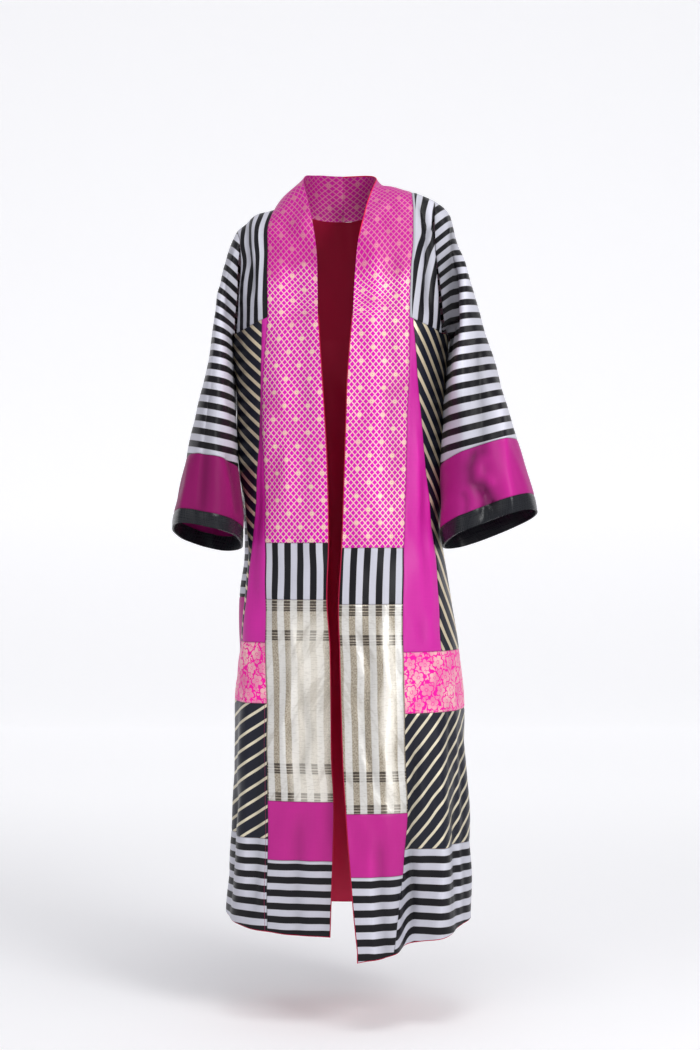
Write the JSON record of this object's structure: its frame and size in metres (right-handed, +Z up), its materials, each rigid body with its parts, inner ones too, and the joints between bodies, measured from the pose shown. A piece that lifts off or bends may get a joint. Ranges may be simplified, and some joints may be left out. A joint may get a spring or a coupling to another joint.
{
  "type": "open-front abaya",
  "caption": "Floor-length open-front abaya of silk patchwork, worn and hollow, with a wide front band and straight sleeves.",
  "frame": {"origin": "centre between the shoulders at the height where they carry the garment", "axes": "+Z up, -Y to the front of the wearer, +X to the wearer's left"},
  "size_m": [0.681, 0.3598, 1.4678],
  "materials": {
    "lattice_brocade": "magenta brocade with a metallic lattice",
    "stripe_satin": "black and pale grey satin stripes",
    "metallic_tissue": "metallic tissue, pale and taupe stripes",
    "magenta_silk": "plain magenta silk",
    "dark_satin": "dark satin with slanting metallic stripes",
    "floral_brocade": "hot pink brocade with pale flowers",
    "black_satin": "black satin",
    "crimson_lining": "crimson lining"
  },
  "bodies": {
    "root": {"right_band_lattice": "lattice_brocade", "right_band_stripe": "stripe_satin", "right_band_tissue": "metallic_tissue", "right_band_magenta": "magenta_silk", "right_band_hem": "stripe_satin", "right_yoke": "stripe_satin", "right_gore": "magenta_silk", "right_side_diagonal": "dark_satin", "right_floral": "floral_brocade", "right_lower_diagonal": "dark_satin", "right_hem_stripe": "stripe_satin", "right_sleeve": "stripe_satin", "right_sleeve_band": "magenta_silk", "right_cuff": "black_satin", "right_cuff_facing": "black_satin", "left_band_lattice": "lattice_brocade", "left_band_stripe": "stripe_satin", "left_band_tissue": "metallic_tissue", "left_band_magenta": "magenta_silk", "left_band_hem": "stripe_satin", "left_yoke": "stripe_satin", "left_gore": "magenta_silk", "left_side_diagonal": "dark_satin", "left_floral": "floral_brocade", "left_lower_diagonal": "dark_satin", "left_hem_stripe": "stripe_satin", "left_sleeve": "stripe_satin", "left_sleeve_band": "magenta_silk", "left_cuff": "black_satin", "left_cuff_facing": "black_satin", "back_yoke": "stripe_satin", "back_stripe": "stripe_satin", "back_magenta": "magenta_silk", "back_floral": "floral_brocade", "back_diagonal": "dark_satin", "back_hem": "stripe_satin", "lining_right": "crimson_lining", "lining_left": "crimson_lining", "lining_back": "crimson_lining"}
  },
  "joints": []
}
